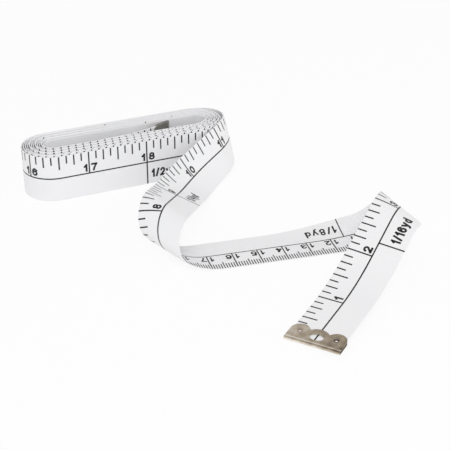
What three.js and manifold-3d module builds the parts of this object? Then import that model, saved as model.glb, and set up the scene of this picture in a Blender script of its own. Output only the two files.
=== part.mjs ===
// A cloth tape measure, partly unwound. The printed tape is wound into a long flat coil that stands on
// its edge. Its outer loop peels off the coil's right-hand end, folds over on the table, runs along it,
// folds over again and ends in a metal clip. The other end, with a clip of its own, is inside the coil.
// Millimetres, +Z up, the coil lies along X. The origin is on the table, under the middle of the flat run.
// A place on the tape is its station, the distance from the zero end, and its offset across the tape.

import * as THREE from 'three';
import { mergeVertices } from 'three/addons/utils/BufferGeometryUtils.js';
import Module from 'manifold-3d';

const wasm = await Module();
wasm.setup();

// Tape. The real one is 2438 mm long, and its coil has 11.5 turns that nearly touch. Turns of a solid need
// more room, so the coil has 6.5 turns in the same space here, and the tape is shorter by the rest.
const TAPE_LENGTH = 1524;
const TAPE_WIDTH = 20;
const TAPE_THICKNESS = 0.45;
const HINGE_GAP = 0.3;

// Free length: from the root station the tape is followed both ways through its bends. Each bend rolls it
// round a cylinder that lies across it at a slant: distance from the root, slant and turn in degrees, and
// the length of tape that the turn takes up. A positive turn lifts the tape.
const ROOT_STATION = 150;
const RUN_HEADING = -8;
const END_FOLD = { at: 63, slant: 23, turn: 184, spread: 33 };
const LEAD_FOLD = { at: 47, slant: 32, turn: 152, spread: 21 };
const BENDS_TO_END = [
  { at: 35, slant: 63, turn: 22, spread: 11 },
  END_FOLD,
  { at: 113, slant: -18, turn: -21.2, spread: 25 },
];
const BENDS_TO_COIL = [
  { at: 31, slant: 23, turn: 54, spread: 22 },
  LEAD_FOLD,
  { at: 100, slant: -49, turn: -56, spread: 23 },
  { at: 134, slant: 25, turn: 43, spread: 16 },
];
const SWING_STATION = 288;

// Coil: an outline with straight sides and round ends, drawn in by a pitch for every turn. The back of its
// right-hand end leans out in a nose, which starts and is full at a share of the way round the end.
const COIL_RIGHT = 17;
const COIL_FRONT = 69.7;
const COIL_HALF_WIDTH = 12.8;
const COIL_TURNS = 6.5;
const COIL_NOSE = 3.5;
const NOSE_START = 1 / 6;
const NOSE_FULL = 1 / 2;
const SIDE_PITCH = 1.4;
const LEFT_PITCH = 1.5;
const RIGHT_PITCH = 1.1;
const NOSE_PITCH = 0.35;
const SIDE_SHARE = 0.68;
const INNER_END_LENGTH = 52.8;
const INNER_END_CROSSING = 0.64;
const INNER_FLEX_LENGTH = 30;

// End clips: sheet metal folded over the tape's end, with three lobes, a window and two pierced dimples
const CLIP_SHEET = 0.3;
const CLIP_CLEARANCE = 0.15;
const CLIP_OVERHANG = 0.45;
const SIDE_LOBE_RADIUS = 3.6;
const SIDE_LOBE_REACH = 4.8;
const MIDDLE_LOBE_RADIUS = 4.8;
const MIDDLE_LOBE_REACH = 3.2;
const WINDOW_REACH = 3.6;
const WINDOW_HALF_LENGTH = 1.7;
const WINDOW_HALF_WIDTH = 2.6;
const DIMPLE_RADIUS = 0.5;

// Facets
const FREE_STEP = 2.5;
const FREE_COLUMNS = 5;
const SIDE_STEPS = 4;
const END_STEPS = 12;
const ARC_SEGMENTS = 24;

const UP = new THREE.Vector3(0, 0, 1);
const HALF_WIDTH = TAPE_WIDTH / 2;
const HALF_THICKNESS = TAPE_THICKNESS / 2;
const HALF_GAP = HINGE_GAP / 2;
const CLIP_LENGTH = Math.max(SIDE_LOBE_REACH + SIDE_LOBE_RADIUS, MIDDLE_LOBE_REACH + MIDDLE_LOBE_RADIUS);
const radians = THREE.MathUtils.degToRad;

// Rolls a point of the tape round one bend. The place of the point on the flat tape says how far it has
// gone round: not at all before the bend, part of the turn inside it, and the whole turn beyond it.
function roll(point, along, across, bend) {
  const turn = radians(bend.turn);
  const radius = bend.spread / turn;
  const cos = Math.cos(radians(bend.slant));
  const sin = Math.sin(radians(bend.slant));
  const ahead = (point.x - bend.at) * cos + point.y * sin;
  const aside = point.y * cos - (point.x - bend.at) * sin;
  const half = bend.spread / 2;
  const inBend = THREE.MathUtils.clamp((along - bend.at) * cos + across * sin, -half, half);
  const angle = turn * (inBend / bend.spread + 0.5);
  const beyond = ahead - inBend;
  const forward = radius * Math.sin(angle) - half + beyond * Math.cos(angle) - point.z * Math.sin(angle);
  const upward = radius * (1 - Math.cos(angle)) + beyond * Math.sin(angle) + point.z * Math.cos(angle);
  return new THREE.Vector3(bend.at + forward * cos - aside * sin, forward * sin + aside * cos, upward);
}

// Middle surface of the free length
function freeTape(station, offset) {
  const towardsEnd = station <= ROOT_STATION;
  const along = Math.abs(station - ROOT_STATION);
  const across = towardsEnd ? offset : -offset;
  const bends = towardsEnd ? BENDS_TO_END : BENDS_TO_COIL;
  let point = new THREE.Vector3(along, across, 0);
  for (const bend of bends.toReversed()) {
    point = roll(point, along, across, bend);
  }
  point.applyAxisAngle(UP, radians(RUN_HEADING) + (towardsEnd ? 0 : Math.PI));
  point.z += HALF_THICKNESS;
  return point;
}

// Change of a surface per millimetre of station, by a small step back
function tangent(surface, station, offset) {
  const step = 0.01;
  return surface(station, offset).sub(surface(station - step, offset)).divideScalar(step);
}

// The swing round the coil's end: a cubic from the free length to the start of the coil, with the length
// and the end pulls of a round arc between the two
const rightEnd = COIL_RIGHT - COIL_HALF_WIDTH;
const peelPoint = new THREE.Vector3(rightEnd + COIL_NOSE, COIL_FRONT + 2 * COIL_HALF_WIDTH, HALF_WIDTH);
const peelTangent = new THREE.Vector3(-1, 0, 0);
const swingChord = freeTape(SWING_STATION, 0).distanceTo(peelPoint);
const swingTurn = tangent(freeTape, SWING_STATION, 0).angleTo(peelTangent);
const SWING_LENGTH = swingChord * (swingTurn / 2) / Math.sin(swingTurn / 2);
const SWING_PULL = SWING_LENGTH * 4 * Math.tan(swingTurn / 4) / swingTurn;
const PEEL_STATION = SWING_STATION + SWING_LENGTH;

function lead(station, offset) {
  if (station <= SWING_STATION) {
    return freeTape(station, offset);
  }
  const t = (station - SWING_STATION) / SWING_LENGTH;
  const start = freeTape(SWING_STATION, offset);
  const startPull = tangent(freeTape, SWING_STATION, offset).multiplyScalar(SWING_PULL);
  const finish = peelPoint.clone().setZ(HALF_WIDTH + offset);
  const finishPull = peelTangent.clone().multiplyScalar(SWING_PULL);
  return start.multiplyScalar((1 + 2 * t) * (1 - t) ** 2)
    .addScaledVector(startPull, t * (1 - t) ** 2)
    .addScaledVector(finish, t * t * (3 - 2 * t))
    .addScaledVector(finishPull, t * t * (t - 1));
}

// Coil: a point of the spiral, from its centre, after a number of turns. A turn is the back side and the
// left-hand end, then the front side and the right-hand end.
function spiralPoint(turns, halfSide) {
  const radius = COIL_HALF_WIDTH - SIDE_PITCH * turns;
  const left = -halfSide - (SIDE_PITCH - LEFT_PITCH) * turns;
  const right = halfSide + (SIDE_PITCH - RIGHT_PITCH) * turns;
  const nose = COIL_NOSE - NOSE_PITCH * turns;
  const front = Math.floor(turns * 2) % 2 === 1;
  const share = (turns * 2) % 1;
  if (share < SIDE_SHARE) {
    const [from, to] = front ? [left, right] : [right + nose, left];
    return new THREE.Vector2(THREE.MathUtils.lerp(from, to, share / SIDE_SHARE), front ? -radius : radius);
  }
  const round = (share - SIDE_SHARE) / (1 - SIDE_SHARE);
  const outward = radius * Math.sin(Math.PI * round);
  const backward = radius * Math.cos(Math.PI * round);
  if (front) {
    const lean = nose * THREE.MathUtils.smoothstep(round, NOSE_START, NOSE_FULL);
    return new THREE.Vector2(right + outward + lean, -backward);
  }
  return new THREE.Vector2(left - outward, backward);
}

function spiralPath(halfSide, sideSteps, endSteps) {
  const points = [];
  for (let half = 0; half < COIL_TURNS * 2; half += 1) {
    for (let step = 0; step < sideSteps; step += 1) {
      points.push(spiralPoint((half + SIDE_SHARE * step / sideSteps) / 2, halfSide));
    }
    for (let step = 0; step < endSteps; step += 1) {
      points.push(spiralPoint((half + SIDE_SHARE + (1 - SIDE_SHARE) * step / endSteps) / 2, halfSide));
    }
  }
  points.push(spiralPoint(COIL_TURNS, halfSide));
  return points;
}

function pathLength(points) {
  return points.slice(1).reduce((sum, point, i) => sum + point.distanceTo(points[i]), 0);
}

// The sides are as long as the wound length of tape makes them: the spiral's length grows evenly with them
const WOUND_LENGTH = TAPE_LENGTH - PEEL_STATION - INNER_END_LENGTH;
const shortSide = 20;
const longSide = 40;
const shortLength = pathLength(spiralPath(shortSide, SIDE_STEPS, 8 * END_STEPS));
const longLength = pathLength(spiralPath(longSide, SIDE_STEPS, 8 * END_STEPS));
const HALF_SIDE = THREE.MathUtils.mapLinear(WOUND_LENGTH, shortLength, longLength, shortSide, longSide);
const coilCentre = new THREE.Vector2(rightEnd - HALF_SIDE, COIL_FRONT + COIL_HALF_WIDTH);

// The inner end leaves the last turn on a curve that tightens, and goes straight on inside its clip. It
// crosses a share of the hollow and climbs by the clip's overhang. The seventh power keeps its length true.
const innerStart = spiralPoint(COIL_TURNS, HALF_SIDE).add(coilCentre);
const lastBackSide = spiralPoint(COIL_TURNS - (1 - SIDE_SHARE) / 2, HALF_SIDE).add(coilCentre);
const curveLength = INNER_END_LENGTH - CLIP_LENGTH;
const crossing = INNER_END_CROSSING * (lastBackSide.y - innerStart.y);
const curveRise = crossing / (1 + 4 * CLIP_LENGTH / curveLength);

function innerEnd(length, offset) {
  const share = Math.min(length / curveLength, 1);
  const beyond = length - share * curveLength;
  const slope = 4 * curveRise * share ** 3 / curveLength;
  const forward = share * curveLength - 8 * curveRise ** 2 * share ** 7 / (7 * curveLength);
  const x = innerStart.x + forward + beyond * Math.sqrt(1 - slope ** 2);
  const y = innerStart.y + curveRise * share ** 4 + beyond * slope;
  const climb = CLIP_OVERHANG * THREE.MathUtils.smoothstep(length, 0, INNER_END_LENGTH - INNER_FLEX_LENGTH);
  return new THREE.Vector3(x, y, HALF_WIDTH + offset + climb);
}

// A closed solid from a grid of points on the tape's middle surface: one row for each section, from the
// plain edge to the other edge, thickened by half the tape's thickness along the normals on either side
function tapeSolid(rows) {
  const columns = rows[0].length;
  const faces = [1, -1].map((side) => rows.map((row, i) => row.map((point, j) => {
    const before = rows[Math.max(i - 1, 0)][j];
    const after = rows[Math.min(i + 1, rows.length - 1)][j];
    const across = row[Math.min(j + 1, columns - 1)].clone().sub(row[Math.max(j - 1, 0)]);
    const normal = after.clone().sub(before).cross(across).normalize();
    return point.clone().addScaledVector(normal, side * HALF_THICKNESS);
  })));
  const vertices = faces.flat(2);
  const at = (face, i, j) => (face * rows.length + i) * columns + j;
  const index = [];
  const quad = (a, b, c, d) => index.push(a, b, c, a, c, d);
  for (let i = 0; i < rows.length - 1; i += 1) {
    for (let j = 0; j < columns - 1; j += 1) {
      quad(at(0, i, j), at(0, i + 1, j), at(0, i + 1, j + 1), at(0, i, j + 1));
      quad(at(1, i, j), at(1, i, j + 1), at(1, i + 1, j + 1), at(1, i + 1, j));
    }
    quad(at(0, i + 1, 0), at(0, i, 0), at(1, i, 0), at(1, i + 1, 0));
    quad(at(0, i, columns - 1), at(0, i + 1, columns - 1), at(1, i + 1, columns - 1), at(1, i, columns - 1));
  }
  const last = rows.length - 1;
  for (let j = 0; j < columns - 1; j += 1) {
    quad(at(0, 0, j), at(0, 0, j + 1), at(1, 0, j + 1), at(1, 0, j));
    quad(at(0, last, j + 1), at(0, last, j), at(1, last, j), at(1, last, j + 1));
  }
  const geometry = new THREE.BufferGeometry().setFromPoints(vertices);
  geometry.setIndex(index);
  geometry.computeVertexNormals();
  return geometry;
}

// Rows of a stretch between two cuts, each a station that may change with the offset
function stretchRows(surface, from, to, steps, columns) {
  return Array.from({ length: steps + 1 }, (_, i) => Array.from({ length: columns + 1 }, (_, j) => {
    const offset = TAPE_WIDTH * (j / columns - 0.5);
    return surface(THREE.MathUtils.lerp(from(offset), to(offset), i / steps), offset);
  }));
}

function freeStretch(surface, from, to) {
  const steps = Math.ceil((to(0) - from(0)) / FREE_STEP);
  return tapeSolid(stretchRows(surface, from, to, steps, FREE_COLUMNS));
}

// A fold is cut along its crest, a straight line at the fold's slant, which is its hinge
function crest(fold, distance) {
  const slant = radians(fold.slant);
  return (offset) => ROOT_STATION + distance + offset * Math.tan(slant);
}

function beside(cut, fold, side) {
  return (offset) => cut(offset) + side * HALF_GAP / Math.cos(radians(fold.slant));
}

const endCrest = crest(END_FOLD, -END_FOLD.at);
const leadCrest = crest(LEAD_FOLD, LEAD_FOLD.at);

function tapeEnd() {
  return freeStretch(freeTape, () => 0, beside(endCrest, END_FOLD, -1));
}

function tapeRun() {
  return freeStretch(freeTape, beside(endCrest, END_FOLD, 1), beside(leadCrest, LEAD_FOLD, -1));
}

function tapeLead() {
  return freeStretch(lead, beside(leadCrest, LEAD_FOLD, 1), () => PEEL_STATION - HALF_GAP);
}

// The windings, from the peel to the cut before the flexing inner end, as one unbroken strip on its edge
function windings() {
  const path = spiralPath(HALF_SIDE, SIDE_STEPS, END_STEPS).map((point) => point.add(coilCentre));
  path[0].x -= HALF_GAP;
  const onEdge = ({ x, y }) => [0, TAPE_WIDTH].map((z) => new THREE.Vector3(x, y, z));
  const cut = INNER_END_LENGTH - INNER_FLEX_LENGTH - HALF_GAP;
  return path.slice(0, -1).map(onEdge).concat(stretchRows(innerEnd, () => 0, () => cut, SIDE_STEPS, 1));
}

function tapeInnerEnd() {
  const from = INNER_END_LENGTH - INNER_FLEX_LENGTH + HALF_GAP;
  return tapeSolid(stretchRows(innerEnd, () => from, () => INNER_END_LENGTH, 2 * SIDE_STEPS, 1));
}

// Least gap of the strip to itself, between points that are half a turn of tape or more apart
function leastGap(rows) {
  const points = rows.map((row) => row[0]);
  const halfTurn = SIDE_STEPS + END_STEPS;
  let least = Infinity;
  for (let i = 0; i < points.length; i += 1) {
    for (let j = i + halfTurn; j < points.length - 1; j += 1) {
      const side = new THREE.Line3(points[j], points[j + 1]);
      const nearest = side.closestPointToPoint(points[i], true, new THREE.Vector3());
      least = Math.min(least, nearest.distanceTo(points[i]));
    }
  }
  return least - TAPE_THICKNESS;
}

// Solids for joining and cutting
function solid(geometry) {
  geometry.deleteAttribute('normal');
  geometry.deleteAttribute('uv');
  const merged = mergeVertices(geometry, 1e-5);
  const vertProperties = new Float32Array(merged.attributes.position.array);
  const triVerts = new Uint32Array(merged.index.array);
  return new wasm.Manifold(new wasm.Mesh({ numProp: 3, vertProperties, triVerts }));
}

function geometryOf(manifold) {
  const mesh = manifold.getMesh();
  const geometry = new THREE.BufferGeometry();
  geometry.setAttribute('position', new THREE.BufferAttribute(mesh.vertProperties, 3));
  geometry.setIndex(new THREE.BufferAttribute(mesh.triVerts, 1));
  geometry.computeVertexNormals();
  return geometry;
}

// Clip, in its own frame: X runs from the tape's end into the tape, Y across it, Z out of its inch face
const CLIP_INNER = HALF_THICKNESS + CLIP_CLEARANCE;
const CLIP_OUTER = CLIP_INNER + CLIP_SHEET;
const CLIP_HALF_WIDTH = HALF_WIDTH + CLIP_OVERHANG;
const SIDE_LOBE_OFFSET = CLIP_HALF_WIDTH - SIDE_LOBE_RADIUS;
const CUT_DEPTH = 4 * CLIP_OUTER;

// A straight-sided cutter through both leaves, from an outline in the clip's X and Y
function through(shape) {
  const geometry = new THREE.ExtrudeGeometry(shape, {
    depth: CUT_DEPTH, bevelEnabled: false, curveSegments: ARC_SEGMENTS,
  });
  return solid(geometry.translate(0, 0, -CUT_DEPTH / 2));
}

function disc(x, y, radiusX, radiusY) {
  return through(new THREE.Shape().absellipse(x, y, radiusX, radiusY, 0, 2 * Math.PI));
}

// The folded strip of sheet: two leaves joined by a round fold at the tape's end
function foldedSheet() {
  const section = new THREE.Shape();
  section.moveTo(CLIP_LENGTH, CLIP_OUTER);
  section.absarc(0, 0, CLIP_OUTER, Math.PI / 2, 3 * Math.PI / 2, false);
  section.lineTo(CLIP_LENGTH, -CLIP_OUTER);
  section.lineTo(CLIP_LENGTH, -CLIP_INNER);
  section.absarc(0, 0, CLIP_INNER, 3 * Math.PI / 2, Math.PI / 2, true);
  section.lineTo(CLIP_LENGTH, CLIP_INNER);
  const geometry = new THREE.ExtrudeGeometry(section, {
    depth: 2 * CLIP_HALF_WIDTH, bevelEnabled: false, curveSegments: ARC_SEGMENTS / 2,
  });
  geometry.translate(0, 0, -CLIP_HALF_WIDTH).rotateX(Math.PI / 2);
  return solid(geometry);
}

function clipOutline() {
  const plate = new THREE.Shape();
  plate.moveTo(-CUT_DEPTH, -CLIP_HALF_WIDTH);
  plate.lineTo(SIDE_LOBE_REACH, -CLIP_HALF_WIDTH);
  plate.lineTo(SIDE_LOBE_REACH, CLIP_HALF_WIDTH);
  plate.lineTo(-CUT_DEPTH, CLIP_HALF_WIDTH);
  const lobes = [-1, 1].map((side) => (
    disc(SIDE_LOBE_REACH, side * SIDE_LOBE_OFFSET, SIDE_LOBE_RADIUS, SIDE_LOBE_RADIUS)
  ));
  lobes.push(disc(MIDDLE_LOBE_REACH, 0, MIDDLE_LOBE_RADIUS, MIDDLE_LOBE_RADIUS));
  return lobes.reduce((outline, lobe) => outline.add(lobe), through(plate));
}

function clipGeometry() {
  const openings = [-1, 1].map((side) => (
    disc(SIDE_LOBE_REACH, side * SIDE_LOBE_OFFSET, DIMPLE_RADIUS, DIMPLE_RADIUS)
  ));
  openings.push(disc(WINDOW_REACH, 0, WINDOW_HALF_LENGTH, WINDOW_HALF_WIDTH));
  const plate = foldedSheet().intersect(clipOutline());
  return geometryOf(openings.reduce((clip, opening) => clip.subtract(opening), plate));
}

// Sets a clip on an end of the tape: into is the way from the end into the tape
function clipOn(name, surface, station, into) {
  const step = 0.01;
  const end = surface(station, 0);
  const x = surface(station + into * step, 0).sub(end).normalize();
  const across = surface(station, HALF_WIDTH).sub(end);
  const z = x.clone().cross(across).normalize();
  const y = z.clone().cross(x);
  const clip = new THREE.Mesh(clipGeometry(), clipMetal());
  clip.name = name;
  clip.quaternion.setFromRotationMatrix(new THREE.Matrix4().makeBasis(x, y, z));
  clip.position.copy(end);
  return clip;
}

function clothWhite() {
  return new THREE.MeshStandardMaterial({ color: 0xf1f1ef, roughness: 0.55, metalness: 0 });
}

function clipMetal() {
  return new THREE.MeshStandardMaterial({ color: 0xb3a88f, roughness: 0.35, metalness: 1 });
}

function tapeNode(name, geometry) {
  const mesh = new THREE.Mesh(geometry, clothWhite());
  mesh.name = name;
  return mesh;
}

const coilRows = windings();
console.log(`least gap of the coil to itself: ${leastGap(coilRows).toFixed(2)} mm`);
console.log(`peel station ${PEEL_STATION.toFixed(2)} mm, half side ${HALF_SIDE.toFixed(3)} mm`);

const tapeMeasure = new THREE.Group();
tapeMeasure.add(
  tapeNode('tape_coil', tapeSolid(coilRows)),
  tapeNode('tape_inner_end', tapeInnerEnd()),
  tapeNode('tape_lead', tapeLead()),
  tapeNode('tape_run', tapeRun()),
  tapeNode('tape_end', tapeEnd()),
  clipOn('end_clip', freeTape, 0, 1),
  clipOn('inner_clip', innerEnd, INNER_END_LENGTH, -1),
);

export default tapeMeasure;
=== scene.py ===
# %% [markdown]
# # A cloth tape measure
# A dressmaker's tape is one long strip of coated cloth with a scale printed on both faces and a metal clip
# on each end. Here most of it is wound into a flat coil that stands on its edge, and the rest is folded
# twice across the table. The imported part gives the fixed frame: its bodies, its joints and its box. Every
# visible piece is made below, in the same frame, and takes the place of a plain solid.

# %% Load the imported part
import math

import bpy
import numpy as np
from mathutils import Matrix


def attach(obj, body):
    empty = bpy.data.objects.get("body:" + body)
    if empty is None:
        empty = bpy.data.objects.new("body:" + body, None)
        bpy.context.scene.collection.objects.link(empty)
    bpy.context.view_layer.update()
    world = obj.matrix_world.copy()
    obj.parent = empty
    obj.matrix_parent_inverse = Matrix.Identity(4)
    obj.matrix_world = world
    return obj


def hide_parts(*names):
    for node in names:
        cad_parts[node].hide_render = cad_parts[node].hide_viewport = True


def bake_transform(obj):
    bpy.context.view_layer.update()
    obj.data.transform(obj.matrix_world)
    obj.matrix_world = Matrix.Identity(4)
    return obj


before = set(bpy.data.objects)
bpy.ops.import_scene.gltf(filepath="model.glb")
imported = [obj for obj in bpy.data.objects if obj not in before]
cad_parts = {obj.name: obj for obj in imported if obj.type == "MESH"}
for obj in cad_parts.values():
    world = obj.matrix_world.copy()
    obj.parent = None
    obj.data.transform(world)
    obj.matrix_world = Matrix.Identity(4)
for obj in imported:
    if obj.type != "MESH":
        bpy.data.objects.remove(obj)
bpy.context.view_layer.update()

# %% [markdown]
# ## The flat tape
# Before it is folded, the tape is flat. A place on it has two numbers: its station, the distance from the
# zero end in millimetres, and its offset across the tape, which is positive towards the edge with the inch
# ticks. Everything that is printed or cut is laid out in these two numbers, and one function then carries
# it to its place in space. That keeps the print true to scale on every fold.

# %% Sizes of the tape
MM = 0.001
TAPE_LENGTH = 2438.4
TAPE_WIDTH = 20.0
TAPE_THICKNESS = 0.45
HALF_WIDTH = TAPE_WIDTH / 2
HALF_THICKNESS = TAPE_THICKNESS / 2
INCH = 25.4
print("tape", TAPE_LENGTH, "x", TAPE_WIDTH, "x", TAPE_THICKNESS, "mm")

# %% [markdown]
# ## The free length and its bends
# Cloth that is coated stiff bends in one direction at a time, so each bend rolls the tape round a cylinder.
# The cylinder lies across the tape at a slant, and that is what makes the tape turn aside as it folds over.
# A bend is four numbers: its distance from the root station, its slant, its turn in degrees, and the length
# of tape that the turn takes up. From the root, in the middle of the flat run, the tape is followed both
# ways. Modelling the folds by hand would stretch the cloth; rolling it keeps every length.

# %% Bends of the free length
ROOT_STATION = 150.0
RUN_HEADING = -8.0
END_FOLD = (63.0, 23.0, 184.0, 33.0)
LEAD_FOLD = (47.0, 32.0, 152.0, 21.0)
BENDS_TO_END = [(35.0, 63.0, 22.0, 11.0), END_FOLD, (113.0, -18.0, -21.2, 25.0)]
BENDS_TO_COIL = [(31.0, 23.0, 54.0, 22.0), LEAD_FOLD, (100.0, -49.0, -56.0, 23.0), (134.0, 25.0, 43.0, 16.0)]
SWING_STATION = 288.0


def roll(point, along, across, bend):
    """Rolls points round one bend. With q the flat distance from the bend's middle line, kept to within half
    its spread, the turn so far is turn * (q / spread + 1/2), and the point goes round a circle of radius
    spread / turn by that angle and then straight on."""
    at, slant, turn, spread = bend
    cos, sin = math.cos(math.radians(slant)), math.sin(math.radians(slant))
    turn = math.radians(turn)
    radius = spread / turn
    ahead = (point[..., 0] - at) * cos + point[..., 1] * sin
    aside = point[..., 1] * cos - (point[..., 0] - at) * sin
    within = np.clip((along - at) * cos + across * sin, -spread / 2, spread / 2)
    angle = turn * (within / spread + 0.5)
    beyond = ahead - within
    forward = radius * np.sin(angle) - spread / 2 + beyond * np.cos(angle) - point[..., 2] * np.sin(angle)
    upward = radius * (1 - np.cos(angle)) + beyond * np.sin(angle) + point[..., 2] * np.cos(angle)
    return np.stack([at + forward * cos - aside * sin, forward * sin + aside * cos, upward], -1)


def one_way(along, across, bends, heading):
    """The tape from the root through a list of bends, the furthest rolled first, then turned to its heading
    and lifted by half its thickness."""
    point = np.stack([along, across, np.zeros_like(along)], -1)
    for bend in reversed(bends):
        point = roll(point, along, across, bend)
    cos, sin = math.cos(math.radians(heading)), math.sin(math.radians(heading))
    x = cos * point[..., 0] - sin * point[..., 1]
    y = sin * point[..., 0] + cos * point[..., 1]
    return np.stack([x, y, point[..., 2] + HALF_THICKNESS], -1)


def free_tape(station, offset):
    """Middle surface of the free length: one way from the root to the end, the other to the coil."""
    along = np.abs(station - ROOT_STATION)
    to_end = one_way(along, offset, BENDS_TO_END, RUN_HEADING)
    to_coil = one_way(along, -offset, BENDS_TO_COIL, RUN_HEADING + 180)
    return np.where((station <= ROOT_STATION)[..., None], to_end, to_coil)


zero_end = free_tape(np.array(0.0), np.array(0.0))
print("middle of the zero end, mm:", np.round(zero_end, 2))

# %% [markdown]
# ## The coil and the swing into it
# Wound flat by hand, the tape makes long straight sides and round ends, and every turn lies inside the last.
# The spiral is a racing-track outline that is drawn in by a pitch for each turn. All 11.5 turns are wound
# here, where the plain solid has fewer in the same space. The back of the right-hand end leans out in a nose,
# because the loops there follow the tape that peels off. The sides are as long as the wound length of tape
# makes them. No hand winds quite level, so the turns are lifted a little, here more and there less. A smooth
# cubic swings the free length round the coil's end onto the outer turn, and the inner end leaves the last
# turn on a curve that steepens across the hollow.

# %% Sizes of the coil
COIL_RIGHT = 17.0
COIL_FRONT = 69.7
COIL_HALF_WIDTH = 12.8
COIL_TURNS = 11.5
COIL_NOSE = 3.5
NOSE_START, NOSE_FULL = 1 / 6, 1 / 2
SIDE_PITCH, LEFT_PITCH, RIGHT_PITCH, NOSE_PITCH = 0.725, 0.825, 0.52, 0.15
SIDE_SHARE = 0.68
TURN_LIFT, LIFTS_PER_TURN = 0.8, 1 / 3

right_end = COIL_RIGHT - COIL_HALF_WIDTH
peel_point = np.array([right_end + COIL_NOSE, COIL_FRONT + 2 * COIL_HALF_WIDTH, HALF_WIDTH])
peel_tangent = np.array([-1.0, 0.0, 0.0])


def tangent(station, offset, step=0.01):
    """Change of the free length's surface per millimetre of station, by a small step back."""
    return (free_tape(station, offset) - free_tape(station - step, offset)) / step


swing_start = np.array(SWING_STATION)
swing_chord = np.linalg.norm(free_tape(swing_start, np.array(0.0)) - peel_point)
start_tangent = tangent(swing_start, np.array(0.0))
swing_turn = math.acos(start_tangent @ peel_tangent / np.linalg.norm(start_tangent))
SWING_LENGTH = swing_chord * (swing_turn / 2) / math.sin(swing_turn / 2)
SWING_PULL = SWING_LENGTH * 4 * math.tan(swing_turn / 4) / swing_turn
PEEL_STATION = SWING_STATION + SWING_LENGTH
print("the tape leaves the coil at station", round(PEEL_STATION, 2))


# %% Swing round the coil's end
def swing(station, offset):
    """A cubic between two points and two pulls, with t from 0 to 1:
    (1+2t)(1-t)^2 start + t(1-t)^2 pull + t^2(3-2t) finish + t^2(t-1) pull."""
    t = ((station - SWING_STATION) / SWING_LENGTH)[..., None]
    start = free_tape(np.full_like(station, SWING_STATION), offset)
    start_pull = tangent(np.full_like(station, SWING_STATION), offset) * SWING_PULL
    finish = np.broadcast_to(peel_point, start.shape) + offset[..., None] * np.array([0.0, 0.0, 1.0])
    near = start * (1 + 2 * t) * (1 - t) ** 2 + start_pull * t * (1 - t) ** 2
    return near + finish * t * t * (3 - 2 * t) + peel_tangent * SWING_PULL * t * t * (t - 1)


swing_middle = swing(np.array([SWING_STATION + SWING_LENGTH / 2]), np.zeros(1))[0]
print("middle of the swing, mm:", np.round(swing_middle, 2))


# %% Spiral of the coil
def smooth_step(value):
    """0 up to 0, 1 from 1 on, and 3v^2 - 2v^3 between."""
    value = np.clip(value, 0, 1)
    return value * value * (3 - 2 * value)


def spiral(turns, half_side):
    """A point of the spiral from its centre. A turn is the back side and the left-hand end, then the front
    side and the right-hand end. An end is half a circle of radius half width - pitch * turns, and the
    right-hand one is moved out by the nose on its way to the back."""
    radius = COIL_HALF_WIDTH - SIDE_PITCH * turns
    left = -half_side - (SIDE_PITCH - LEFT_PITCH) * turns
    right = half_side + (SIDE_PITCH - RIGHT_PITCH) * turns
    nose = COIL_NOSE - NOSE_PITCH * turns
    front = np.floor(turns * 2) % 2 == 1
    share = (turns * 2) % 1
    along = share / SIDE_SHARE
    side_x = np.where(front, left + (right - left) * along, right + nose + (left - right - nose) * along)
    round_share = (share - SIDE_SHARE) / (1 - SIDE_SHARE)
    outward, backward = radius * np.sin(math.pi * round_share), radius * np.cos(math.pi * round_share)
    lean = nose * smooth_step((round_share - NOSE_START) / (NOSE_FULL - NOSE_START))
    end_x = np.where(front, right + outward + lean, left - outward)
    on_side = share < SIDE_SHARE
    y = np.where(on_side, radius, backward)
    return np.stack([np.where(on_side, side_x, end_x), np.where(front, -y, y)], -1)


last_radius = COIL_HALF_WIDTH - SIDE_PITCH * COIL_TURNS
print("ends of the loops: radius", COIL_HALF_WIDTH, "to", round(last_radius, 2), "mm")

# %% Length of the coil's sides
INNER_END_LENGTH = 51.9
SPIRAL_SAMPLES = 80001
LAST_TURN = COIL_TURNS - 1e-9
TRIAL_HALF_SIDES = [20.0, 40.0]
turn_samples = np.linspace(0, LAST_TURN, SPIRAL_SAMPLES)


def spiral_lengths(half_side):
    """Length of the spiral from its start to each sample."""
    steps = np.linalg.norm(np.diff(spiral(turn_samples, half_side), axis=0), axis=1)
    return np.concatenate([[0.0], np.cumsum(steps)])


wound_length = TAPE_LENGTH - PEEL_STATION - INNER_END_LENGTH
trial_lengths = [spiral_lengths(half_side)[-1] for half_side in TRIAL_HALF_SIDES]
HALF_SIDE = np.interp(wound_length, trial_lengths, TRIAL_HALF_SIDES)
coil_lengths = spiral_lengths(HALF_SIDE)
coil_centre = np.array([right_end - HALF_SIDE, COIL_FRONT + COIL_HALF_WIDTH])
print("half side of the coil", round(float(HALF_SIDE), 3), "mm")


# %% Surface of the coil
def wound_tape(station, offset):
    """Middle surface of the coil: the spiral by length, standing on its edge. It is lifted by a squared sine
    of the turns, which starts in the second turn and dies out over the last."""
    turns = np.interp(station - PEEL_STATION, coil_lengths, turn_samples)
    plan = spiral(turns, HALF_SIDE) + coil_centre
    lift = TURN_LIFT * np.sin(math.pi * LIFTS_PER_TURN * turns) ** 2
    lift = lift * smooth_step(turns - 1) * smooth_step(COIL_TURNS - turns)
    return np.stack([plan[..., 0], plan[..., 1], HALF_WIDTH + offset + lift], -1)


highest = wound_tape(PEEL_STATION + coil_lengths, np.array(0.0))[:, 2].max() - HALF_WIDTH
print("the loops are lifted by up to", round(float(highest), 2), "mm")

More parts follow.
